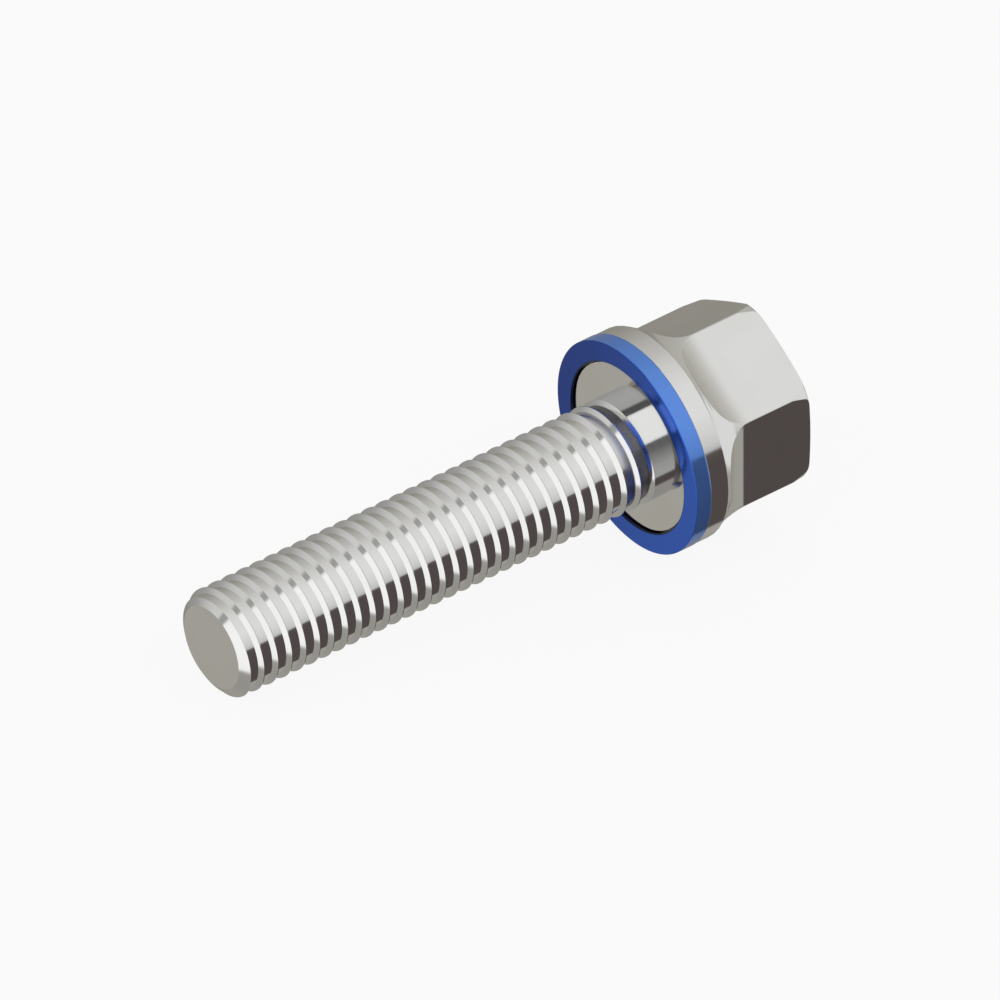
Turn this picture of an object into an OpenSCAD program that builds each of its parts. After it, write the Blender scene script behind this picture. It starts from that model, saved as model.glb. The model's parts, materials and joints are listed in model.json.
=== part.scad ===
/* [Thread] */
// Nominal diameter of the thread
thread_d = 10; // [8:0.1:12]
// Pitch of the thread
thread_pitch = 1.5; // [1:0.05:2]
// Depth of the groove between two crests
thread_depth = 0.48; // [0.3:0.01:0.7]
// Width of the flat left on each crest
crest_flat = 0.08; // [0.04:0.01:0.2]
// Angle between the two flanks of the groove
thread_angle = 60; // [40:1:70]

/* [Shank] */
// Length from the bearing face to the tip
shank_length = 45; // [30:1:80]
// Plain length between the bearing face and the thread
plain_length = 1.2; // [0.6:0.1:8]
// Diameter of the flat face at the tip
tip_face_d = 7.8; // [6:0.1:9]
// Full angle of the cone behind the tip face
tip_angle = 120; // [60:5:140]

/* [Collar] */
// How far the collar stands out past the round blank of the head
collar_step = 0.8; // [0.3:0.05:3]
// Thickness of the collar
collar_thickness = 1.8; // [1:0.1:4]

/* [Sealing ring] */
// How far the ring stands out past the collar all round
seal_overhang = 0.05; // [0.02:0.01:0.5]
// Radial width of the sealing ring
seal_width = 1.97; // [1:0.01:2.5]
// Thickness of the sealing ring
seal_thickness = 1.6; // [1:0.1:3]
// How far the ring stands proud of the bearing face before it is squeezed
seal_proud = 0.3; // [0.1:0.05:0.6]
// Radial clearance between the ring and the boss
seal_clearance = 0.13; // [0.01:0.01:0.3]
// Small chamfer on the edges of the ring
seal_edge = 0.1; // [0.05:0.05:0.3]

/* [Head] */
// Height from the bearing face to the top of the crown
head_height = 14; // [11:0.1:20]
// Distance across the wrench flats
across_flats = 15.9; // [13:0.1:16.6]
// How far the round blank trims the corners of the hexagon
corner_trim = 0.03; // [0.02:0.01:0.3]
// Radius of the hollow that leads from the collar up to the blank
neck_radius = 5; // [3:0.1:8]
// Height above the collar at which each flat becomes plane
flat_rise = 3.6; // [2.5:0.1:5]
// Radius of the fillet that each flat runs out in
flat_fillet = 3.65; // [2.5:0.05:6]
// Spherical radius of the crown
crown_radius = 55; // [30:1:120]
// Diameter of the small flat that the lathe leaves in the middle of the crown
crown_flat_d = 1; // [0.4:0.1:3]
// Height below the top of the crown at which the rim starts to taper
rim_drop = 2.4; // [1.5:0.1:4]
// Taper of the rim
rim_taper = 9; // [3:1:30]
// Radius between the rim and the crown
rim_round = 0.45; // [0.1:0.05:0.8]

/* [Hidden] */
$fn = 96;

thread_r = thread_d / 2;
root_r = thread_r - thread_depth;
flank_run = thread_depth * tan(thread_angle / 2);
tip_length = (thread_r - tip_face_d / 2) / tan(tip_angle / 2);

hexagon_sides = 6;
hexagon_step = 360 / hexagon_sides;
flat_distance = across_flats / 2;
blank_r = flat_distance / cos(hexagon_step / 2) - corner_trim;

collar_r = blank_r + collar_step;
seal_r = collar_r + seal_overhang;
seal_bore_r = seal_r - seal_width;
boss_r = seal_bore_r - seal_clearance;
boss_height = seal_thickness - seal_proud;
collar_top = boss_height + collar_thickness;

neck_turn = acos(1 - collar_step / neck_radius);
neck_centre = [blank_r + neck_radius, collar_top + neck_radius * sin(neck_turn)];
flat_start = collar_top + flat_rise;
// How far cutters and trimmed profiles reach past the faces that they make
spare = 2;

// Centre of the small round that touches both the tapered rim and the crown
crown_end = acos(crown_flat_d / 2 / crown_radius);
crown_centre = head_height - crown_radius * sin(crown_end);
rim_start = head_height - rim_drop;
rim_inset = blank_r - rim_round / cos(rim_taper);
rim_slope = tan(rim_taper);
rim_above = rim_start - crown_centre;
rim_half = (rim_above - rim_inset * rim_slope) / (1 + pow(rim_slope, 2));
rim_rest = (pow(rim_inset, 2) + pow(rim_above, 2) - pow(crown_radius - rim_round, 2))
    / (1 + pow(rim_slope, 2));
round_height = sqrt(pow(rim_half, 2) - rim_rest) - rim_half;
round_centre = [rim_inset - rim_slope * round_height, rim_start + round_height];
round_end = atan2(round_centre[1] - crown_centre, round_centre[0]);

// Number of straight steps that each arc is drawn with
neck_steps = 8;
round_steps = 6;
crown_steps = 8;
runout_steps = 12;

// The screw lies on two circles: the front edge of the ring and the last whole crest
groove_count = ceil((shank_length - plain_length) / thread_pitch);
last_crest = plain_length
    + thread_pitch * floor((shank_length - tip_length - plain_length) / thread_pitch);
seal_contact = seal_proud - seal_edge;
// The seam of the ring lies a little to one side of its lowest line
seal_seam = 5.4;
lie_angle = atan((seal_r - thread_r) / (last_crest - seal_contact));

// Points along an arc, leaving out those before the first
function arc(centre, radius, from, to, steps, first = 0) = [for (step = [first : steps])
    let (angle = from + (to - from) * step / steps)
        centre + radius * [cos(angle), sin(angle)]];

// Outline of the shank from the axis outwards, with the cone at the tip
module shank_outline() {
    polygon([
        [0, boss_height],
        [0, -shank_length],
        [tip_face_d / 2, -shank_length],
        [thread_r, tip_length - shank_length],
        [thread_r, boss_height]
    ]);
}

// Cross section of one groove, with its upper edge at the given height
module groove(top) {
    bottom = top - thread_pitch + crest_flat;
    polygon([
        [thread_r, top],
        [root_r, top - flank_run],
        [root_r, bottom + flank_run],
        [thread_r, bottom],
        [thread_r + spare, bottom],
        [thread_r + spare, top]
    ]);
}

// Threaded shank, its grooves drawn as rings of the true form and pitch
module shank() {
    rotate_extrude()
        difference() {
            shank_outline();
            for (turn = [0 : groove_count - 1])
                groove(-plain_length - turn * thread_pitch);
        }
}

// Half section of the turned blank: boss, collar, hollow neck, tapered rim and crown
module blank_outline() {
    polygon(concat(
        [
            [0, 0],
            [boss_r, 0],
            [boss_r, boss_height],
            [collar_r, boss_height]
        ],
        arc(neck_centre, neck_radius, 180 + neck_turn, 180, neck_steps),
        [[blank_r, rim_start]],
        arc(round_centre, rim_round, rim_taper, round_end, round_steps),
        arc([0, crown_centre], crown_radius, round_end, crown_end, crown_steps, 1),
        [[0, head_height]]
    ));
}

// Side view of what the milling cutter takes off for one flat, with its round run-out
module flat_cut_outline() {
    runout = [flat_distance + flat_fillet, flat_start];
    polygon(concat(
        arc(runout, flat_fillet, 180, 270, runout_steps),
        [
            [runout[0], head_height + spare],
            [flat_distance, head_height + spare]
        ]
    ));
}

// Hexagon head with its corners above and below the axis of the lying screw
module head() {
    difference() {
        rotate_extrude()
            blank_outline();
        for (side = [0 : hexagon_sides - 1])
            rotate([0, 0, (side + 0.5) * hexagon_step])
                rotate([90, 0, 0])
                    linear_extrude(height = 2 * collar_r, center = true)
                        flat_cut_outline();
    }
}

// Turns the upright screw onto its side, with its head towards +X and slightly up
module lay_down() {
    rotate([0, 90 - lie_angle, 0])
        children();
}

// One piece screw of stainless steel
module screw() {
    color("#a9a69d")
        lay_down()
            union() {
                shank();
                head();
            }
}

// Elastic ring that seals the joint round the boss
module sealing_ring() {
    color("#2d59ad")
        lay_down()
            translate([0, 0, -seal_proud])
                rotate([0, 0, seal_seam])
                    rotate_extrude()
                        polygon([
                            [seal_bore_r, seal_edge],
                            [seal_bore_r + seal_edge, 0],
                            [seal_r - seal_edge, 0],
                            [seal_r, seal_edge],
                            [seal_r, seal_thickness - seal_edge],
                            [seal_r - seal_edge, seal_thickness],
                            [seal_bore_r, seal_thickness]
                        ]);
}

screw();
sealing_ring();
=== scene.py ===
"""Looks of a hygienic hexagon screw that lies on its side.

The script builds the right-hand thread, the turned and milled head and the sealing ring in the
screw's own upright frame, in millimetres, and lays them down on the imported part. It then dresses
them in polished steel and blue elastomer and sets up a plain pale studio with one camera.
"""

import json
import logging
import math
from dataclasses import dataclass
from enum import Enum
from typing import Dict, List, Optional, Sequence, Tuple, Union

import bpy
import numpy as np
from mathutils import Matrix, Vector


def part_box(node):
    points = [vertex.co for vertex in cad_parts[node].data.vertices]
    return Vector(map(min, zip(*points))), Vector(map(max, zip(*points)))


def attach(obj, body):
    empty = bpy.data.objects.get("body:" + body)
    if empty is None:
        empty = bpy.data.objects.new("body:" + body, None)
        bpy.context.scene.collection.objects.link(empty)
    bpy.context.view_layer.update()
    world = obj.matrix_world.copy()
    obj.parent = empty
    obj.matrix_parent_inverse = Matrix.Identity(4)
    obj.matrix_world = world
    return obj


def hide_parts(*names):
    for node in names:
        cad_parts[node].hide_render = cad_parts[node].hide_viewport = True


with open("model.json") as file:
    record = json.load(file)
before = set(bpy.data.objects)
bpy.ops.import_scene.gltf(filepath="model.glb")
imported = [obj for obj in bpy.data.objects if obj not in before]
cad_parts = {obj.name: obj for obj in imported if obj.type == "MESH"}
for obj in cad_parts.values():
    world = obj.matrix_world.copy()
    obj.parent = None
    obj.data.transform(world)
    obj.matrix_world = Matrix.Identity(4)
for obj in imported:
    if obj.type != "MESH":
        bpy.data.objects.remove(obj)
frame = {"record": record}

log = logging.getLogger("hygienic_screw")

MM = 0.001
TURN = 2 * math.pi
TINY = 1e-9

Colour = Tuple[float, float, float]
Value = Union[float, "Shade"]


class Slot(Enum):
    """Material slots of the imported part."""

    STEEL = "stainless_steel"
    ELASTOMER = "blue_elastomer"


class Blend(Enum):
    """Forms of a step between two values."""

    SMOOTH = "SMOOTHSTEP"
    STRAIGHT = "LINEAR"


class Shade:
    """A node's output that can stand in a Python expression."""

    def __init__(self, graph: "Graph", socket: bpy.types.NodeSocket) -> None:
        """Keep the socket together with the graph it belongs to.

        Args:
            graph: The graph that new nodes are added to.
            socket: The output socket that is wrapped.
        """
        self.graph = graph
        self.socket = socket

    def _math(self, operation: str, first: Value, second: Value) -> "Shade":
        """Add a Math node.

        Args:
            operation: The node's operation.
            first: Its first input.
            second: Its second input.

        Returns:
            The node's output.
        """
        return self.graph.node("ShaderNodeMath", {"operation": operation}, {0: first, 1: second})

    def __add__(self, other: Value) -> "Shade":
        """Return self + other."""
        return self._math("ADD", self, other)

    def __radd__(self, other: Value) -> "Shade":
        """Return other + self."""
        return self._math("ADD", other, self)

    def __mul__(self, other: Value) -> "Shade":
        """Return self * other."""
        return self._math("MULTIPLY", self, other)

    def __rmul__(self, other: Value) -> "Shade":
        """Return other * self."""
        return self._math("MULTIPLY", other, self)

    def rise(self, low: float, high: float, blend: Blend = Blend.SMOOTH) -> "Shade":
        """Turn the value into a step.

        Args:
            low: The value at which the step starts, with a result of 0.
            high: The value at which it ends, with a result of 1. It may be below low.
            blend: The step's form.

        Returns:
            The step's output.
        """
        bounds = {1: low, 2: high, 3: 0.0, 4: 1.0}
        if high < low:
            bounds = {1: high, 2: low, 3: 1.0, 4: 0.0}
        settings = {"interpolation_type": blend.value}
        return self.graph.node("ShaderNodeMapRange", settings, {"Value": self, **bounds})


class Graph:
    """The nodes of one material or world."""

    def __init__(self, tree: bpy.types.NodeTree) -> None:
        """Take over a node tree and clear it.

        Args:
            tree: The tree that is filled.
        """
        self.tree = tree
        self.tree.nodes.clear()

    def node(
        self,
        kind: str,
        settings: Optional[Dict[str, object]] = None,
        inputs: Optional[Dict[Union[int, str], object]] = None,
        output: Union[int, str] = 0,
    ) -> Shade:
        """Add a node.

        Args:
            kind: The node's type.
            settings: Its settings, set before its inputs. "stops" are a ramp's positions and
                colours.
            inputs: The value of each input, or the output that is linked to it.
            output: The output that is returned.

        Returns:
            The chosen output.
        """
        made = self.tree.nodes.new(kind)
        for name, value in (settings or {}).items():
            if name == "stops":
                self._set_stops(made.color_ramp, value)
            else:
                setattr(made, name, value)
        for name, value in (inputs or {}).items():
            if isinstance(value, Shade):
                self.tree.links.new(value.socket, made.inputs[name])
            else:
                made.inputs[name].default_value = value
        return Shade(self, made.outputs[output] if made.outputs else made)

    @staticmethod
    def _set_stops(ramp: bpy.types.ColorRamp, stops: Sequence[Tuple[float, Colour]]) -> None:
        """Set a colour ramp's stops.

        Args:
            ramp: The ramp that is changed.
            stops: Position and colour of each stop, in order.
        """
        ramp.elements[0].position, ramp.elements[1].position = stops[0][0], stops[-1][0]
        for position, _ in stops[1:-1]:
            ramp.elements.new(position)
        for element, (_, colour) in zip(ramp.elements, stops):
            element.color = (*colour, 1.0)

    def mix(self, factor: Value, first: object, second: object) -> Shade:
        """Mix two colours.

        Args:
            factor: The share of the second colour.
            first: The colour at a factor of 0.
            second: The colour at a factor of 1.

        Returns:
            The mixed colour.
        """
        return self.node(
            "ShaderNodeMix",
            {"data_type": "RGBA"},
            {"Factor": factor, 6: self._rgba(first), 7: self._rgba(second)},
            2,
        )

    @staticmethod
    def _rgba(colour: object) -> object:
        """Give a plain colour its alpha, and leave a linked one as it is."""
        return colour if isinstance(colour, Shade) else (*colour, 1.0)

    def along(self, vector: Shade, direction: Vector) -> Shade:
        """Measure a vector along a fixed direction.

        Args:
            vector: The vector that is measured.
            direction: The fixed direction.

        Returns:
            Their dot product.
        """
        return self.node(
            "ShaderNodeVectorMath",
            {"operation": "DOT_PRODUCT"},
            {0: vector, 1: tuple(direction)},
            "Value",
        )

    def noise(self, place: Shade, scale: float, detail: float) -> Shade:
        """Add a noise that varies with the place.

        Args:
            place: The place.
            scale: Its number of spots to a metre.
            detail: Its number of finer layers.

        Returns:
            The noise.
        """
        inputs = {"Vector": place, "Scale": scale, "Detail": detail}
        return self.node("ShaderNodeTexNoise", inputs=inputs)

    def bump(self, height: Shade, strength: float = 0.02, depth: float = 0.02) -> Shade:
        """Turn a height into a bumpy normal.

        Args:
            height: The height, from 0 to 1.
            strength: The bump's strength.
            depth: What a height of 1 stands for, in millimetres.

        Returns:
            The normal.
        """
        inputs = {"Strength": strength, "Distance": depth * MM, "Height": height}
        return self.node("ShaderNodeBump", inputs=inputs)

    def surface(self, inputs: Dict[Union[int, str], object]) -> None:
        """Add a material's shader and its output.

        Args:
            inputs: The shader's inputs.
        """
        shader = self.node("ShaderNodeBsdfPrincipled", inputs=inputs)
        self.node("ShaderNodeOutputMaterial", inputs={"Surface": shader})


def new_material(name: str) -> Tuple[bpy.types.Material, Graph]:
    """Make a material without any node.

    Args:
        name: The material's name.

    Returns:
        The material and its graph.
    """
    made = bpy.data.materials.new(name)
    made.use_nodes = True
    return made, Graph(made.node_tree)


@dataclass(frozen=True)
class Lay:
    """How the upright screw is laid down on the floor.

    The screw's own frame has +z along its axis to the head and its origin in the bearing face.
    """

    axis: Vector

    @property
    def side(self) -> Vector:
        """World direction of the screw's own x axis, which points down."""
        return Vector((self.axis.z, 0.0, -self.axis.x))

    @property
    def back(self) -> Vector:
        """World direction of the screw's own y axis."""
        return Vector((0.0, 1.0, 0.0))

    def place(self, points: np.ndarray) -> np.ndarray:
        """Turn points or directions from the screw's own frame into the world's.

        Args:
            points: An array of points or directions, one to a row.

        Returns:
            The turned array.
        """
        turn = np.array([self.side, self.back, self.axis])
        return points @ turn

    def direction(self, axial: float, front: float, up: float) -> Vector:
        """Give the world direction of a line that is told in the terms of the lying screw.

        Args:
            axial: Its part along the axis, towards the head.
            front: Its part towards the front.
            up: Its part upwards, square to the axis.

        Returns:
            The direction, as long as the given parts make it.
        """
        return axial * self.axis - front * self.back - up * self.side


def put(name: str, data: bpy.types.ID) -> bpy.types.Object:
    """Make an object and put it into the scene.

    Args:
        name: The object's name.
        data: Its mesh or camera.

    Returns:
        The new object.
    """
    made = bpy.data.objects.new(name, data)
    bpy.context.scene.collection.objects.link(made)
    return made


class Shell:
    """Vertices, faces and normals of one piece, gathered before its mesh is made."""

    # Steps to a millimetre, and to the length of a normal, within which vertices coincide
    point_grid = 2e4
    normal_grid = 40

    def __init__(self) -> None:
        """Start an empty shell."""
        self.points: List[np.ndarray] = []
        self.normals: List[np.ndarray] = []
        self.faces: List[Tuple[int, ...]] = []
        self.count = 0

    def add(self, points: np.ndarray, normals: np.ndarray) -> np.ndarray:
        """Add vertices.

        Args:
            points: Their places, in an array whose last axis holds x, y and z.
            normals: Their normals, in an array of the same shape.

        Returns:
            Their numbers, in an array of the same shape without its last axis.
        """
        shape = points.shape[:-1]
        number = int(np.prod(shape))
        self.points.append(points.reshape(-1, 3))
        self.normals.append(normals.reshape(-1, 3))
        first = self.count
        self.count += number
        return np.arange(first, first + number).reshape(shape)

    def bridge(self, left: Sequence[int], right: Sequence[int]) -> None:
        """Join two columns of vertices of the same length with four-sided faces.

        Args:
            left: Numbers of the vertices of one column.
            right: Numbers of the vertices of the other column.
        """
        for i in range(len(left) - 1):
            self.faces.append((left[i], left[i + 1], right[i + 1], right[i]))

    def fan(self, ring: Sequence[int], middle: int) -> None:
        """Close a ring of vertices with triangles round a middle vertex.

        Args:
            ring: Numbers of the vertices of the ring.
            middle: Number of the middle vertex.
        """
        for i, number in enumerate(ring):
            self.faces.append((number, ring[(i + 1) % len(ring)], middle))

    def build(self, name: str, lay: Lay) -> bpy.types.Object:
        """Make the object, without its vertices that coincide and its faces that have no area.

        Args:
            name: The piece's name.
            lay: How it is laid down.

        Returns:
            The new object.
        """
        points = np.concatenate(self.points)
        normals = np.concatenate(self.normals)
        weld: Dict[Tuple[int, ...], int] = {}
        keep: List[int] = []
        number = np.empty(len(points), int)
        spots = np.hstack([points * self.point_grid, normals * self.normal_grid])
        keys = np.round(spots).astype(int)
        for i, key in enumerate(map(tuple, keys)):
            if key not in weld:
                weld[key] = len(keep)
                keep.append(i)
            number[i] = weld[key]
        faces = []
        for face in self.faces:
            ring: List[int] = []
            for corner in (int(number[i]) for i in face):
                if corner not in ring:
                    ring.append(corner)
            if len(ring) > 2:
                faces.append(tuple(ring))
        mesh = bpy.data.meshes.new(name)
        mesh.from_pydata((lay.place(points[keep]) * MM).tolist(), [], faces)
        mesh.polygons.foreach_set("use_smooth", [True] * len(mesh.polygons))
        mesh.normals_split_custom_set_from_vertices(lay.place(normals[keep]).tolist())
        mesh.validate(clean_customdata=False)
        mesh.update()
        return put(name, mesh)


def around(angles: np.ndarray, radii: np.ndarray, heights: np.ndarray) -> np.ndarray:
    """Give points by their polar coordinates about the screw's axis.

    Args:
        angles: Angles about the axis, in radians.
        radii: Distances from the axis.
        heights: Heights along the axis.

    Returns:
        The points, in an array whose last axis holds x, y and z.
    """
    angles, radii, heights = np.broadcast_arrays(angles, radii, heights)
    return np.stack([radii * np.cos(angles), radii * np.sin(angles), heights], axis=-1)


def spin(angle: float) -> np.ndarray:
    """Matrix that turns rows of x, y and z about the screw's axis."""
    c, s = math.cos(angle), math.sin(angle)
    return np.array([[c, s, 0.0], [-s, c, 0.0], [0.0, 0.0, 1.0]])


def smooth(share: float) -> float:
    """Ease a share in and out between 0 and 1."""
    share = min(1.0, max(0.0, share))
    return share * share * (3 - 2 * share)


@dataclass(frozen=True)
class Level:
    """One level of a turned profile: its radius, height and the slope of its normal."""

    radius: float
    height: float
    normal: Tuple[float, float]


def line(start: Tuple[float, float], end: Tuple[float, float], steps: int = 1) -> List[Level]:
    """Draw a straight stretch of a profile.

    Args:
        start: Radius and height of its start.
        end: Radius and height of its end.
        steps: Number of its steps.

    Returns:
        Its levels, both ends with them. Material lies on its left side.
    """
    along, rise = end[0] - start[0], end[1] - start[1]
    length = math.hypot(along, rise)
    normal = (rise / length, -along / length)
    return [
        Level(start[0] + along * i / steps, start[1] + rise * i / steps, normal)
        for i in range(steps + 1)
    ]


def bow(
    centre: Tuple[float, float], radius: float, start: float, end: float, steps: int
) -> List[Level]:
    """Draw an arc of a profile.

    Args:
        centre: Radius and height of its centre.
        radius: Its own radius, below 0 where the arc is hollow.
        start: Angle of its start, in degrees.
        end: Angle of its end, in degrees.
        steps: Number of its steps.

    Returns:
        Its levels, both ends with them.
    """
    levels = []
    sign = math.copysign(1.0, radius)
    for i in range(steps + 1):
        angle = math.radians(start + (end - start) * i / steps)
        normal = (sign * math.cos(angle), sign * math.sin(angle))
        place = (centre[0] + radius * normal[0], centre[1] + radius * normal[1])
        levels.append(Level(*place, normal))
    return levels


@dataclass
class ThreadedShank:
    """The shank with its right-hand metric thread, its cone at the tip and its run-out."""

    lay: Lay
    radius: float = 5.0
    pitch: float = 1.5
    depth: float = 0.48
    crest_flat: float = 0.08
    flank_deg: float = 30.0
    crest_at: float = 0.8419
    length: float = 44.999
    tip_radius: float = 3.9
    tip_deg: float = 60.0
    sunk: float = 0.3
    seam_deg: float = 63.95
    runout_deg: float = 90.0
    split_at: float = -3.3
    worn: float = 0.13
    worn_from: float = 43.2
    worn_fully: float = 43.8
    worn_half_deg: Tuple[float, float] = (25.0, 60.0)
    columns: int = 120

    def _fade(self, turn: float) -> float:
        """Share of its full depth that the first groove has, as it runs out under the head."""
        return smooth((1 - turn) * TURN / math.radians(self.runout_deg))

    def _wear(self, angle: float, height: float) -> float:
        """Tell how much the crest that starts at the tip is lowered on the side that lies down.

        Args:
            angle: Angle about the axis, in radians.
            height: Height of the crest.

        Returns:
            The missing part of its radius.
        """
        along = (-height - self.worn_from) / (self.worn_fully - self.worn_from)
        near, far = self.worn_half_deg
        off = abs(math.degrees(math.remainder(angle, TURN)))
        across = (far - off) / (far - near)
        return self.worn * (smooth(along) * smooth(across))

    def _strips(self, turn: float) -> List[Tuple[np.ndarray, np.ndarray]]:
        """Draw the half section at one angle, as strips with a normal of their own.

        Args:
            turn: The section's share of a full turn, from the seam where the thread runs out.

        Returns:
            For each strip its two ends and its normal, both as radius and height.
        """
        flank = math.radians(self.flank_deg)
        slope = math.tan(flank)
        angle = self._seam() + TURN * turn
        middle = self._first_groove() + self.pitch * turn
        grooves = int(math.ceil((self.length + self.pitch) / self.pitch)) + 1
        strips: List[Tuple[np.ndarray, np.ndarray]] = []
        above = self.sunk
        for k in range(-1, grooves):
            at = middle - self.pitch * k
            share = 1.0
            if k == 0:
                share = self._fade(turn)
            elif k < 0:
                share = 0.0
            cut = self.depth * share
            root = (self.pitch - self.crest_flat) / 2 - self.depth * slope
            low = self.radius - cut
            edge = root + cut * slope
            upper, lower = (
                self._wear(angle, at + side * self.pitch / 2) if share == 1 else 0.0
                for side in (1, -1)
            )
            corners = [
                (self.radius - upper, at + edge - upper * slope),
                (low, at + root),
                (low, at - root),
                (self.radius - lower, at - edge + lower * slope),
            ]
            corners = [(r, min(z, self.sunk)) for r, z in corners]
            radial = (1.0, 0.0)
            down = (math.sin(flank), -math.cos(flank)) if cut > TINY else radial
            rise = (math.sin(flank), math.cos(flank)) if cut > TINY else radial
            strips.append((np.array([(corners[0][0], above), corners[0]]), np.array(radial)))
            strips.append((np.array(corners[0:2]), np.array(down)))
            strips.append((np.array(corners[1:3]), np.array(radial)))
            strips.append((np.array(corners[2:4]), np.array(rise)))
            above = corners[3][1]
        return strips

    def _first_groove(self) -> float:
        """Tell where the first groove is at the seam, before the turn begins.

        Returns:
            The height of its middle.
        """
        height = self.crest_at + self.pitch * self._seam() / TURN + self.pitch / 2
        while height > -self.pitch:
            height -= self.pitch
        return height

    def _seam(self) -> float:
        """Angle of the seam, in the screw's own frame, where the thread has run out."""
        return math.radians(self.seam_deg)

    def _room(self, point: np.ndarray) -> float:
        """Height of a point, as radius and height, above the cone at the tip."""
        slope = math.tan(math.radians(90 - self.tip_deg))
        return float(point[1] + self.length - (point[0] - self.tip_radius) * slope)

    def _cut(self, strip: np.ndarray) -> np.ndarray:
        """Cut one strip with the cone at the tip.

        Args:
            strip: The strip's two ends, the upper one first.

        Returns:
            The strip's two ends after the cut. They coincide where nothing is left.
        """
        first, second = self._room(strip[0]), self._room(strip[1])
        if first >= 0 and second >= 0:
            return strip
        if first < 0 and second < 0:
            return np.array([strip[0], strip[0]])
        share = first / (first - second)
        met = strip[0] + (strip[1] - strip[0]) * share
        return np.array([strip[0], met]) if first >= 0 else np.array([met, strip[1]])

    def _halves(self, strips: Sequence[np.ndarray]) -> Tuple[List[np.ndarray], List[np.ndarray]]:
        """Part the strips of one column where the neck of the shank ends.

        Args:
            strips: Both ends of each strip, from the head down.

        Returns:
            The strips of the neck, and those of the thread. A strip that lies wholly on the other
            side has both its ends in the parting point.
        """
        parting = None
        for top, end in strips:
            if parting is None and end[1] <= self.split_at:
                share = (top[1] - self.split_at) / (top[1] - end[1])
                parting = top + (end - top) * share
        neck, thread = [], []
        for top, end in strips:
            neck.append(np.array([p if p[1] > self.split_at else parting for p in (top, end)]))
            thread.append(np.array([p if p[1] < self.split_at else parting for p in (top, end)]))
        return neck, thread

    def build(self) -> Tuple[bpy.types.Object, bpy.types.Object]:
        """Build the shank in two pieces.

        Returns:
            The neck with the thread's run-out, and the thread with the tip, both laid down.
        """
        shells = (Shell(), Shell())
        columns: Tuple[List[List[np.ndarray]], List[List[np.ndarray]]] = ([], [])
        rims = []
        seams = []
        for j in range(self.columns + 1):
            turn = j / self.columns
            angle = self._seam() + TURN * turn
            strips = []
            normals = []
            end = None
            for ends, normal in self._strips(turn):
                whole = self._cut(ends)
                if end is not None and np.allclose(whole[0], whole[1]):
                    whole = np.array([end, end])
                if not np.allclose(whole[0], whole[1]) or end is None:
                    end = whole[1]
                strips.append(whole)
                normals.append(around(angle, normal[0], normal[1]))
            halves = self._halves(strips)
            for shell, half, sides in zip(shells, halves, columns):
                column = []
                for whole, way in zip(half, normals):
                    point = around(angle, whole[:, 0], whole[:, 1])
                    column.append(shell.add(point, np.broadcast_to(way, point.shape)))
                sides.append(column)
            rims.append((angle, end))
            seams.append((angle, halves[0][-1][1][0]))
        for shell, sides in zip(shells, columns):
            for left, right in zip(sides, sides[1:]):
                for low, high in zip(left, right):
                    shell.bridge(low, high)
        self._tip(shells[1], rims)
        whole_turn = [(rim[0], self.radius) for rim in rims[:-1]]
        self._close(shells[0], whole_turn, self.sunk, 1.0)
        self._close(shells[0], seams[:-1], self.split_at, -1.0)
        self._close(shells[1], seams[:-1], self.split_at, 1.0)
        names = ("shank_neck", "threaded_shank")
        neck, thread = (shell.build(name, self.lay) for shell, name in zip(shells, names))
        return neck, thread

    def _tip(self, shell: Shell, rims: List[Tuple[float, np.ndarray]]) -> None:
        """Close the tip with its cone and its flat face.

        Args:
            shell: The shell that is added to.
            rims: Angle, and radius and height, of each point where the thread meets the cone.
        """
        angles = np.array([rim[0] for rim in rims])
        ends = np.array([rim[1] for rim in rims])
        lean = math.radians(self.tip_deg)
        way = around(angles, math.cos(lean), -math.sin(lean))
        down = around(angles, 0.0, -1.0)
        upper = shell.add(around(angles, ends[:, 0], ends[:, 1]), way)
        lower = shell.add(around(angles, self.tip_radius, -self.length), way)
        face = shell.add(around(angles, self.tip_radius, -self.length), down)
        for j in range(len(rims) - 1):
            shell.bridge((upper[j], lower[j]), (upper[j + 1], lower[j + 1]))
        middle = shell.add(np.array([[0.0, 0.0, -self.length]]), np.array([[0.0, 0.0, -1.0]]))
        shell.fan(list(face[:-1])[::-1], int(middle[0]))

    @staticmethod
    def _close(
        shell: Shell, ring: Sequence[Tuple[float, float]], height: float, way: float
    ) -> None:
        """Close an end that is hidden inside the screw.

        Args:
            shell: The shell that is added to.
            ring: Angle and radius of each point of the end's edge.
            height: Height of the end.
            way: 1.0 where it faces the head, -1.0 where it faces the tip.
        """
        angles, radii = np.array(ring).T
        edge = shell.add(around(angles, radii, height), around(angles, 0.0 * radii, way))
        middle = shell.add(np.array([[0.0, 0.0, height]]), np.array([[0.0, 0.0, way]]))
        numbers = list(edge) if way > 0 else list(edge)[::-1]
        shell.fan(numbers, int(middle[0]))


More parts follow.
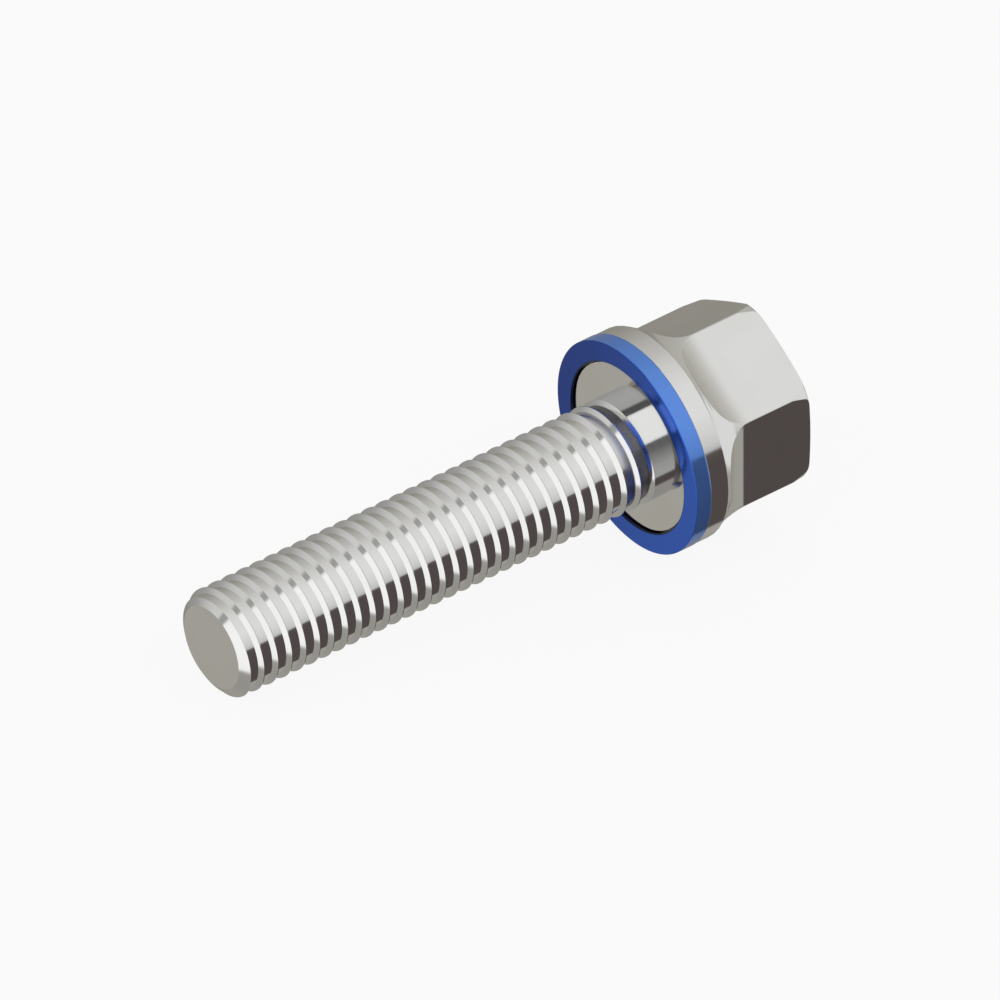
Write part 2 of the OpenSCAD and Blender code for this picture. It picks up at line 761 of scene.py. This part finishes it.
@dataclass
class HexagonHead:
    """The head: a turned blank with boss, collar, hollow neck and crown, and six milled flats."""

    lay: Lay
    boss_radius: float = 7.89987
    boss_height: float = 1.3
    collar_radius: float = 9.94987
    collar_top: float = 3.1
    blank_radius: float = 9.1498
    neck_radius: float = 5.0
    rim_start: float = 11.6
    rim_taper_deg: float = 9.0
    rim_round: float = 0.45
    crown_radius: float = 55.0
    height: float = 14.0
    flat_distance: float = 7.95
    flat_start: float = 6.7
    flat_fillet: float = 3.65
    soft_edge: float = 0.05
    edge_strip: float = 0.045
    strip_share: float = 0.4
    face_from: float = 2.5
    sides: int = 6
    flat_columns: int = 6
    blank_columns: int = 8
    face_steps: int = 3
    seat_steps: int = 2
    edge_steps: int = 4
    neck_steps: int = 26
    blank_steps: int = 10
    rim_steps: int = 12
    round_steps: int = 10
    corner_steps: int = 14
    dome_steps: int = 12

    def _flat(self, height: float) -> Tuple[float, float]:
        """Tell where a flat is at a height.

        Args:
            height: Height above the bearing face.

        Returns:
            Its distance from the axis and the change of that distance with height.
        """
        drop = self.flat_start - height
        if drop <= 0:
            return self.flat_distance, 0.0
        if drop >= self.flat_fillet:
            return math.inf, 0.0
        root = math.sqrt(self.flat_fillet**2 - drop**2)
        return self.flat_distance + self.flat_fillet - root, -drop / root

    def _profile(self) -> List[Level]:
        """Draw the blank's half section from the bearing face up to the crown.

        Returns:
            Its levels, in order.
        """
        e = self.soft_edge
        boss, collar, blank = self.boss_radius, self.collar_radius, self.blank_radius
        levels = [Level(0.0, 0.0, (0.0, -1.0))]
        levels += line((self.face_from, 0.0), (boss - e, 0.0), self.face_steps)
        levels += bow((boss - e, e), e, -90, 0, self.edge_steps)[1:]
        levels += line((boss, e), (boss, self.boss_height))[1:]
        seat = (boss, self.boss_height), (collar - e, self.boss_height)
        levels += line(*seat, self.seat_steps)
        levels += bow((collar - e, self.boss_height + e), e, -90, 0, self.edge_steps)[1:]
        turn = math.acos(1 - (collar - blank) / self.neck_radius)
        centre = (blank + self.neck_radius, self.collar_top + self.neck_radius * math.sin(turn))
        levels += line((collar, self.boss_height + e), (collar, self.collar_top))[1:]
        start = 180 + math.degrees(turn)
        levels += bow(centre, -self.neck_radius, start, 180, self.neck_steps)
        levels += line((blank, centre[1]), (blank, self.rim_start), self.blank_steps)[1:]
        levels += self._crown()
        return levels

    def _crown(self) -> List[Level]:
        """Draw the tapered rim, its round and the crown.

        Returns:
            Their levels.
        """
        taper = math.radians(self.rim_taper_deg)
        middle = self.height - self.crown_radius
        inset = self.blank_radius - self.rim_round / math.cos(taper)
        slope = math.tan(taper)
        above = self.rim_start - middle
        half = (above - inset * slope) / (1 + slope**2)
        rest = (inset**2 + above**2 - (self.crown_radius - self.rim_round) ** 2) / (1 + slope**2)
        climb = math.sqrt(half**2 - rest) - half
        centre = (inset - slope * climb, self.rim_start + climb)
        end = math.degrees(math.atan2(centre[1] - middle, centre[0]))
        start_round = (
            centre[0] + self.rim_round * math.cos(taper),
            centre[1] + self.rim_round * math.sin(taper),
        )
        levels = line((self.blank_radius, self.rim_start), start_round, self.rim_steps)
        levels += bow(centre, self.rim_round, self.rim_taper_deg, end, self.round_steps)[1:]
        levels += self._dome(middle, end)
        return levels

    def _dome(self, middle: float, start_deg: float) -> List[Level]:
        """Draw the dome, with close levels where the flats cut it.

        Args:
            middle: Height of the dome's centre.
            start_deg: Angle of its start, in degrees.

        Returns:
            Its levels, down to a small circle at the middle.
        """
        outer = self.crown_radius * math.cos(math.radians(start_deg))
        spread = math.acos(self.flat_distance / outer)
        corner, dome, distance = self.corner_steps, self.dome_steps, self.flat_distance
        radii = [distance / math.cos(spread * (1 - i / corner)) for i in range(1, corner + 1)]
        radii += [distance * (1 - i / dome) for i in range(1, dome)]
        levels = []
        for radius in radii:
            angle = math.acos(radius / self.crown_radius)
            height = middle + self.crown_radius * math.sin(angle)
            levels.append(Level(radius, height, (math.cos(angle), math.sin(angle))))
        return levels

    def _sector(self, level: Level) -> Tuple[np.ndarray, np.ndarray]:
        """Draw a part of the section at one level, from the middle of one flat to the next.

        Args:
            level: The level of the blank.

        Returns:
            Place and normal of each point, with x along the first flat's middle.
        """
        radius, (outward, upward) = level.radius, level.normal
        distance, change = self._flat(level.height)
        edge = math.acos(min(1.0, distance / max(radius, TINY)))
        if edge > 0:
            depth, half = distance, distance * math.tan(edge)
            length = math.hypot(1.0, change)
            tilt = (1.0 / length, 0.0, -change / length)
        else:
            depth, half = radius, 0.0
            tilt = (outward, 0.0, upward)
        strip = min(self.edge_strip, self.strip_share * half)
        flat = [(half - strip) * i / self.flat_columns for i in range(self.flat_columns + 1)]
        points = [(depth, across, level.height) for across in flat]
        normals = [tilt] * len(flat)
        sector = TURN / self.sides
        spread = self.strip_share * (sector / 2 - edge)
        start = edge + min(self.edge_strip / max(radius, TINY), spread)
        for i in range(self.blank_columns + 1):
            angle = start + (sector - 2 * start) * i / self.blank_columns
            ray = (math.cos(angle), math.sin(angle))
            points.append((radius * ray[0], radius * ray[1], level.height))
            normals.append((outward * ray[0], outward * ray[1], upward))
        for across in flat[:0:-1]:
            points.append(tuple(np.array([depth, -across, level.height]) @ spin(sector)))
            normals.append(tuple(np.array(tilt) @ spin(sector)))
        return np.array(points), np.array(normals)

    def build(self) -> bpy.types.Object:
        """Build the head.

        Returns:
            The new object, laid down.
        """
        shell = Shell()
        rings = []
        for level in self._profile():
            points, normals = self._sector(level)
            ring: List[int] = []
            for side in range(self.sides):
                turned = spin((side + 0.5) * TURN / self.sides)
                ring += list(shell.add(points @ turned, normals @ turned))
            rings.append(ring)
        for low, high in zip(rings, rings[1:]):
            shell.bridge(low + low[:1], high + high[:1])
        top = shell.add(np.array([[0.0, 0.0, self.height]]), np.array([[0.0, 0.0, 1.0]]))
        shell.fan(rings[-1], int(top[0]))
        return shell.build("hexagon_head", self.lay)


@dataclass
class SealingRing:
    """The elastic ring round the boss, a little proud of the bearing face."""

    lay: Lay
    radius: float = 9.9945
    width: float = 1.97
    thickness: float = 1.6
    proud: float = 0.3
    edge: float = 0.1
    face_steps: int = 2
    edge_steps: int = 6
    columns: int = 192

    def _profile(self) -> List[Level]:
        """Draw the ring's section, all the way round.

        Returns:
            Its levels, in order.
        """
        inner, outer, e = self.radius - self.width, self.radius, self.edge
        front, back = -self.proud, self.thickness - self.proud
        levels = line((inner + e, front), (outer - e, front), self.face_steps)
        levels += bow((outer - e, front + e), e, -90, 0, self.edge_steps)[1:]
        levels += line((outer, front + e), (outer, back - e))[1:]
        levels += bow((outer - e, back - e), e, 0, 90, self.edge_steps)[1:]
        levels += line((outer - e, back), (inner, back))[1:]
        levels += line((inner, back), (inner, front + e))
        levels += bow((inner + e, front + e), e, 180, 270, self.edge_steps)[1:]
        return levels

    def build(self) -> bpy.types.Object:
        """Build the ring.

        Returns:
            The new object, laid down.
        """
        shell = Shell()
        angles = TURN * np.arange(self.columns) / self.columns
        rings = []
        for level in self._profile():
            point = around(angles, level.radius, level.height)
            rings.append(list(shell.add(point, around(angles, *level.normal))))
        for low, high in zip(rings, rings[1:]):
            shell.bridge(low + low[:1], high + high[:1])
        return shell.build("blue_sealing_ring", self.lay)


def near_axis(graph: Graph, place: Shade, lay: Lay, radii: Tuple[float, float]) -> Shade:
    """Tell where a place is close to the screw's axis.

    Args:
        graph: The material's nodes.
        place: The place.
        lay: How the screw lies.
        radii: The distances at which the step ends and starts, in millimetres.

    Returns:
        A step with a result of 1 close to the axis.
    """
    front = graph.along(place, lay.direction(0.0, 1.0, 0.0))
    up = graph.along(place, lay.direction(0.0, 0.0, 1.0))
    inner, outer = ((radius * MM) ** 2 for radius in radii)
    return (front * front + up * up).rise(outer, inner)


@dataclass(frozen=True)
class PolishedSteel:
    """Stainless steel, turned and milled fine and polished almost to a mirror."""

    name: str = "polished stainless steel"
    light: Colour = (0.845, 0.845, 0.84)
    dull: Colour = (0.825, 0.825, 0.815)
    # Painted shade in the roots of the last grooves under the head: its darker colour and where it
    # lies
    cut: Colour = (0.34, 0.335, 0.33)
    groove_shade_from: Tuple[float, float] = (-4.4, -2.6)
    groove_shade_to: Tuple[float, float] = (-1.3, -1.15)
    groove_shade_within: Tuple[float, float] = (4.56, 4.61)
    roughness: float = 0.07
    roughness_spread: float = 0.05
    cut_roughness: float = 0.22
    cloud_scale: float = 260.0
    cloud_detail: float = 3.0
    cloud_step: Tuple[float, float] = (0.35, 0.65)
    cloud_share: float = 0.6
    mark_scale: float = 9000.0
    mark_detail: float = 2.0

    def material(self, lay: Lay) -> bpy.types.Material:
        """Make the material.

        Args:
            lay: How the screw lies, for the tool marks round its axis and the painted shade in the
                last grooves.

        Returns:
            The material.
        """
        made, graph = new_material(self.name)
        place = graph.node("ShaderNodeTexCoord", output="Object")
        cloud = graph.noise(place, self.cloud_scale, self.cloud_detail)
        height = graph.along(place, lay.axis)
        marks = graph.node(
            "ShaderNodeTexNoise",
            {"noise_dimensions": "1D"},
            {"W": height, "Scale": self.mark_scale, "Detail": self.mark_detail},
        )
        # Painted shade, together with a rougher surface, in the roots of the last grooves under
        # the head
        groove_shade = self._groove_shade_share(height) * near_axis(graph, place, lay, self.groove_shade_within)
        colour = graph.mix(cloud.rise(*self.cloud_step), self.light, self.dull)
        uneven = self.cloud_share * cloud + (1 - self.cloud_share) * marks
        polish = self.roughness + self.roughness_spread * uneven
        graph.surface(
            {
                "Base Color": graph.mix(groove_shade, colour, self.cut),
                "Metallic": 1.0,
                "Roughness": polish + self.cut_roughness * groove_shade,
                "Normal": graph.bump(marks),
            }
        )
        return made

    def _groove_shade_share(self, height: Shade) -> Shade:
        """Tell where the roots of the last grooves under the head get painted shade and a rougher
        surface.

        Args:
            height: Height along the axis.

        Returns:
            The share of the painted shade and the rougher surface at that height.
        """
        start, full = (bound * MM for bound in self.groove_shade_from)
        fade, end = (bound * MM for bound in self.groove_shade_to)
        return height.rise(start, full) * height.rise(end, fade)


@dataclass(frozen=True)
class BlueElastomer:
    """Smooth blue rubber, moulded in a polished tool, with painted light and shade in its blue."""

    name: str = "blue elastomer"
    # Painted light and shade on the front: its blue at the shaded upper left and at the lit lower
    # right
    front_shaded: Colour = (0.012, 0.07, 0.46)
    front_lit: Colour = (0.033, 0.164, 0.88)
    # Painted light: the rim's lighter blue
    rim: Colour = (0.14, 0.33, 0.92)
    sheen: Tuple[float, float] = (0.8, 0.65)
    half_width: float = 9.0
    rim_from: Tuple[float, float] = (-0.28, -0.22)
    # Painted shadow: the near-black blue at the ring's inner edge, beside the gap round the boss
    gap_shadow: Colour = (0.004, 0.012, 0.045)
    gap_shadow_within: Tuple[float, float] = (8.10, 8.15)
    across: Tuple[float, float, float] = (0.0, 0.94, -0.34)
    roughness: float = 0.08
    roughness_spread: float = 0.05
    refraction: float = 1.5
    cloud_scale: float = 420.0
    cloud_detail: float = 4.0
    cloud_shift: float = 2.0
    grain_scale: float = 9000.0
    grain_detail: float = 2.0

    def material(self, lay: Lay) -> bpy.types.Material:
        """Make the material.

        Args:
            lay: How the screw lies, for the painted shades of the ring's front, rim and inner
                edge.

        Returns:
            The material.
        """
        made, graph = new_material(self.name)
        place = graph.node("ShaderNodeTexCoord", output="Object")
        cloud = graph.noise(place, self.cloud_scale, self.cloud_detail)
        grain = graph.noise(place, self.grain_scale, self.grain_detail)
        across = graph.along(place, lay.direction(*self.across))
        across = across + self.cloud_shift * MM * cloud
        reach = self.half_width * MM
        # Painted light and shade: the front's blue goes from shaded to lit across the ring
        face = graph.mix(across.rise(-reach, reach), self.front_shaded, self.front_lit)
        # Painted light: the rim is drawn a lighter blue than the front
        rim = graph.along(place, lay.axis).rise(*(height * MM for height in self.rim_from))
        colour = graph.mix(rim, face, self.rim)
        # Painted shadow at the inner edge of the ring
        gap_shadow = near_axis(graph, place, lay, self.gap_shadow_within)
        front_sheen, rim_sheen = self.sheen
        graph.surface(
            {
                "Base Color": graph.mix(gap_shadow, colour, self.gap_shadow),
                "Roughness": self.roughness + self.roughness_spread * cloud,
                "Normal": graph.bump(grain),
                "IOR": self.refraction,
                "Metallic": front_sheen + (rim_sheen - front_sheen) * rim,
            }
        )
        return made


# Shares that full warmth takes from the green and the blue
WARM_GREEN = 0.05
WARM_BLUE = 0.16


def grey(light: float, warmth: float = 0.0) -> Colour:
    """Mix the light of a soft box or card.

    Args:
        light: Its strength.
        warmth: Its warmth, from 0 to 1.

    Returns:
        Its colour.
    """
    return (light, light * (1 - WARM_GREEN * warmth), light * (1 - WARM_BLUE * warmth))


@dataclass(frozen=True)
class Edge:
    """A soft straight edge of a card or box, as a step along one direction.

    The direction is given by its parts along the axis to the head, to the front and up.
    """

    way: Tuple[float, float, float]
    start: float
    end: float
    blend: Blend = Blend.SMOOTH


ALONG = (1.0, 0.0, 0.0)
FRONT = (0.0, 1.0, 0.0)
UP = (0.0, 0.0, 1.0)
BELOW = (-0.504, -0.697, 0.511)
TIPWARD = Edge(ALONG, -0.30, -0.40)


@dataclass
class Studio:
    """A plain pale floor, a surround of soft boxes and dark cards, and the camera."""

    lay: Lay
    floor_at: float
    white: float = 0.956
    floor_half: float = 1.5
    floor_base: float = 0.08
    floor_glow: float = 0.906
    azimuth_deg: float = -36.96
    elevation_deg: float = 39.66
    scale: float = 0.08590
    off_centre: Tuple[float, float] = (-10.92, -4.49)
    looked_at: float = -0.3
    away: float = 0.4
    clip: Tuple[float, float] = (0.001, 10.0)
    belt_from_deg: float = -130.0
    head_belt: Sequence[Tuple[float, Colour]] = (
        (-130, grey(0.32, 0.8)),
        (-100, grey(0.38, 0.8)),
        (-45, grey(0.40, 0.6)),
        (0, grey(0.42)),
        (12, grey(0.66)),
        (25, grey(0.76)),
        (45, grey(0.845)),
        (75, grey(0.82, 0.1)),
        (105, grey(0.70, 0.2)),
        (125, grey(0.57, 0.3)),
        (145, grey(0.49, 0.5)),
        (165, grey(0.39, 0.7)),
        (185, grey(0.32, 0.9)),
        (205, grey(0.29, 1.0)),
    )
    tip_belt: Sequence[Tuple[float, Colour]] = (
        (-130, grey(0.42, 0.9)),
        (-100, grey(0.34, 0.6)),
        (-60, grey(0.35, 0.4)),
        (-36, grey(0.45)),
        (-14, grey(0.40)),
        (8, grey(0.25)),
        (20, grey(0.16)),
        (34, grey(0.12)),
        (115, grey(0.13)),
        (126, grey(0.43)),
        (150, grey(0.45)),
        (177, grey(0.42)),
        (200, grey(0.35, 0.3)),
        (230, grey(0.42, 0.9)),
    )
    front_box: Colour = (0.80, 0.80, 0.79)
    haze: Colour = (0.52, 0.507, 0.465)
    pale: Colour = (0.71, 0.71, 0.70)
    card: Colour = (0.088, 0.073, 0.072)
    frame: Colour = (0.09, 0.09, 0.09)
    frame_end: Colour = (0.37, 0.37, 0.365)
    end_box: Colour = (1.05, 1.05, 1.05)
    tip_half: Sequence[Edge] = (Edge(ALONG, 0.1, -0.35),)
    front_box_edges: Sequence[Edge] = (
        Edge(ALONG, 0.60, 0.66),
        Edge(UP, -0.55, -0.40),
        Edge(FRONT, -0.12, 0.12),
    )
    haze_edges: Sequence[Edge] = (
        Edge(ALONG, 0.46, 0.99, Blend.STRAIGHT),
        Edge((0.0, -0.35, 0.94), 0.06, 0.22),
    )
    pale_edges: Sequence[Edge] = (Edge(ALONG, -0.35, -0.95), Edge(UP, -0.6, -0.1))
    frame_edges: Sequence[Edge] = (TIPWARD, Edge((-0.367, 0.879, 0.304), -0.02, 0.02))
    frame_end_edges: Sequence[Edge] = (Edge(ALONG, -0.55, -0.85),)
    unlit_edges: Sequence[Edge] = (TIPWARD, Edge(BELOW, 0.02, -0.02))
    card_edges: Sequence[Edge] = (
        Edge((0.0, 0.105, -1.0), -0.02, 0.02),
        Edge((0.784, -0.307, -1.0), -0.02, 0.02),
        Edge((0.45, 1.0, 0.0), 0.17, 0.25),
        Edge(ALONG, 0.64, 0.60),
    )
    end_box_edges: Sequence[Edge] = (
        TIPWARD,
        Edge(BELOW, -0.02, 0.02),
        Edge((-0.271, 0.958, 0.093), -0.015, 0.03),
    )

    def floor(self) -> bpy.types.Object:
        """Lay the floor, which lights nothing and shows in no metal.

        Returns:
            The floor.
        """
        h = self.floor_half
        corners = [(-h, -h), (h, -h), (h, h), (-h, h)]
        mesh = bpy.data.meshes.new("floor")
        mesh.from_pydata([(x, y, self.floor_at) for x, y in corners], [], [(0, 1, 2, 3)])
        made = put("floor", mesh)
        made.visible_glossy = False
        made.visible_diffuse = False
        paint, graph = new_material("pale floor")
        graph.surface(
            {
                "Base Color": (self.floor_base, self.floor_base, self.floor_base, 1.0),
                "Roughness": 1.0,
                "Specular IOR Level": 0.0,
                "Emission Color": (1.0, 1.0, 1.0, 1.0),
                "Emission Strength": self.floor_glow,
            }
        )
        mesh.materials.append(paint)
        return made

    def surround(self) -> None:
        """Fill the world with the soft boxes and cards, and with white where the camera looks."""
        world = bpy.data.worlds.new("studio surround")
        bpy.context.scene.world = world
        world.use_nodes = True
        graph = Graph(world.node_tree)
        way = graph.node("ShaderNodeTexCoord", output="Generated")
        unlit = self._belt(graph, way, self.tip_belt)
        frame_tip = self._field(graph, way, self.frame_end_edges)
        light = self._belt(graph, way, self.head_belt)
        for edges, colour in (
            (self.tip_half, unlit),
            (self.front_box_edges, self.front_box),
            (self.haze_edges, self.haze),
            (self.pale_edges, self.pale),
            (self.frame_edges, graph.mix(frame_tip, self.frame, self.frame_end)),
            (self.unlit_edges, unlit),
            (self.card_edges, self.card),
            (self.end_box_edges, self.end_box),
        ):
            light = graph.mix(self._field(graph, way, edges), light, colour)
        path = graph.node("ShaderNodeLightPath", output="Is Camera Ray")
        through = graph.node("ShaderNodeLightPath", output="Is Transmission Ray")
        seen = graph.mix(path + through, light, (self.white, self.white, self.white))
        shader = graph.node("ShaderNodeBackground", inputs={"Color": seen, "Strength": 1.0})
        graph.node("ShaderNodeOutputWorld", inputs={"Surface": shader})

    def _belt(
        self, graph: Graph, way: Shade, stops: Sequence[Tuple[float, Colour]]
    ) -> Shade:
        """Draw a belt of light round the screw's axis.

        Args:
            graph: The world's nodes.
            way: The direction that is looked in.
            stops: Angle from the front upwards, in degrees, and light there.

        Returns:
            The belt's light.
        """
        middle = math.radians(self.belt_from_deg + 180)
        ahead = graph.along(way, self.lay.direction(0.0, math.cos(middle), math.sin(middle)))
        beside = graph.along(way, self.lay.direction(0.0, -math.sin(middle), math.cos(middle)))
        angle = graph.node("ShaderNodeMath", {"operation": "ARCTAN2"}, {0: beside, 1: ahead})
        share = angle * (1 / TURN) + 0.5
        scaled = [((degrees - self.belt_from_deg) / 360, light) for degrees, light in stops]
        return graph.node("ShaderNodeValToRGB", {"stops": scaled}, {0: share})

    def _field(self, graph: Graph, way: Shade, edges: Sequence[Edge]) -> Shade:
        """Tell where a card or box stands.

        Args:
            graph: The world's nodes.
            way: The direction that is looked in.
            edges: The edges of the card or box.

        Returns:
            Its share, which is the product of the steps at its edges.
        """
        steps = [
            graph.along(way, self.lay.direction(*edge.way)).rise(edge.start, edge.end, edge.blend)
            for edge in edges
        ]
        return math.prod(steps[1:], start=steps[0])

    def camera(self) -> bpy.types.Object:
        """Set up the camera, which leans with the screw as the view of the photograph does.

        Returns:
            The camera.
        """
        turn, lift = math.radians(self.azimuth_deg), math.radians(self.elevation_deg)
        right = self.lay.direction(math.cos(turn), -math.sin(turn), 0.0)
        back = self.lay.direction(
            math.sin(turn) * math.cos(lift), math.cos(turn) * math.cos(lift), math.sin(lift)
        )
        up = back.cross(right)
        centre = self.looked_at * MM * self.lay.axis
        centre += self.off_centre[0] * MM * right + self.off_centre[1] * MM * up
        lens = bpy.data.cameras.new("camera")
        lens.type = "ORTHO"
        lens.ortho_scale = self.scale
        lens.clip_start, lens.clip_end = self.clip
        made = put("camera", lens)
        turned = Matrix((right, up, back)).transposed().to_4x4()
        made.matrix_world = Matrix.Translation(centre + self.away * back) @ turned
        bpy.context.scene.camera = made
        return made


def dress(
    piece: bpy.types.Object, material: bpy.types.Material, node: str
) -> None:
    """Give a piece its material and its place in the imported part.

    Args:
        piece: The piece.
        material: Its material.
        node: The part's node that it stands for.
    """
    piece.data.materials.append(material)
    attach(piece, "root")
    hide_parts(node)
    mesh = piece.data
    log.info("%s: %d vertices, %d faces", piece.name, len(mesh.vertices), len(mesh.polygons))


def screw_lay() -> Lay:
    """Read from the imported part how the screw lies.

    Returns:
        The screw's lay, with its axis from the thread's mount.
    """
    mount = next(m for m in frame["record"]["mounts"] if m["name"] == "thread")
    return Lay(-Vector(mount["axis"]).normalized())


def main() -> None:
    """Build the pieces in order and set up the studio."""
    logging.basicConfig(level=logging.INFO, format="%(name)s: %(message)s")
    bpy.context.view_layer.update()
    lay = screw_lay()
    steel = PolishedSteel().material(lay)
    neck, thread = ThreadedShank(lay).build()
    thread.visible_glossy = False
    dress(neck, steel, "screw")
    dress(thread, steel, "screw")
    dress(HexagonHead(lay).build(), steel, "screw")
    dress(SealingRing(lay).build(), BlueElastomer().material(lay), "sealing_ring")
    low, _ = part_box("screw")
    studio = Studio(lay, floor_at=min(low.z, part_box("sealing_ring")[0].z))
    studio.floor()
    studio.surround()
    studio.camera()
    bpy.context.scene.view_settings.view_transform = "Standard"


if __name__ == "__main__":
    main()
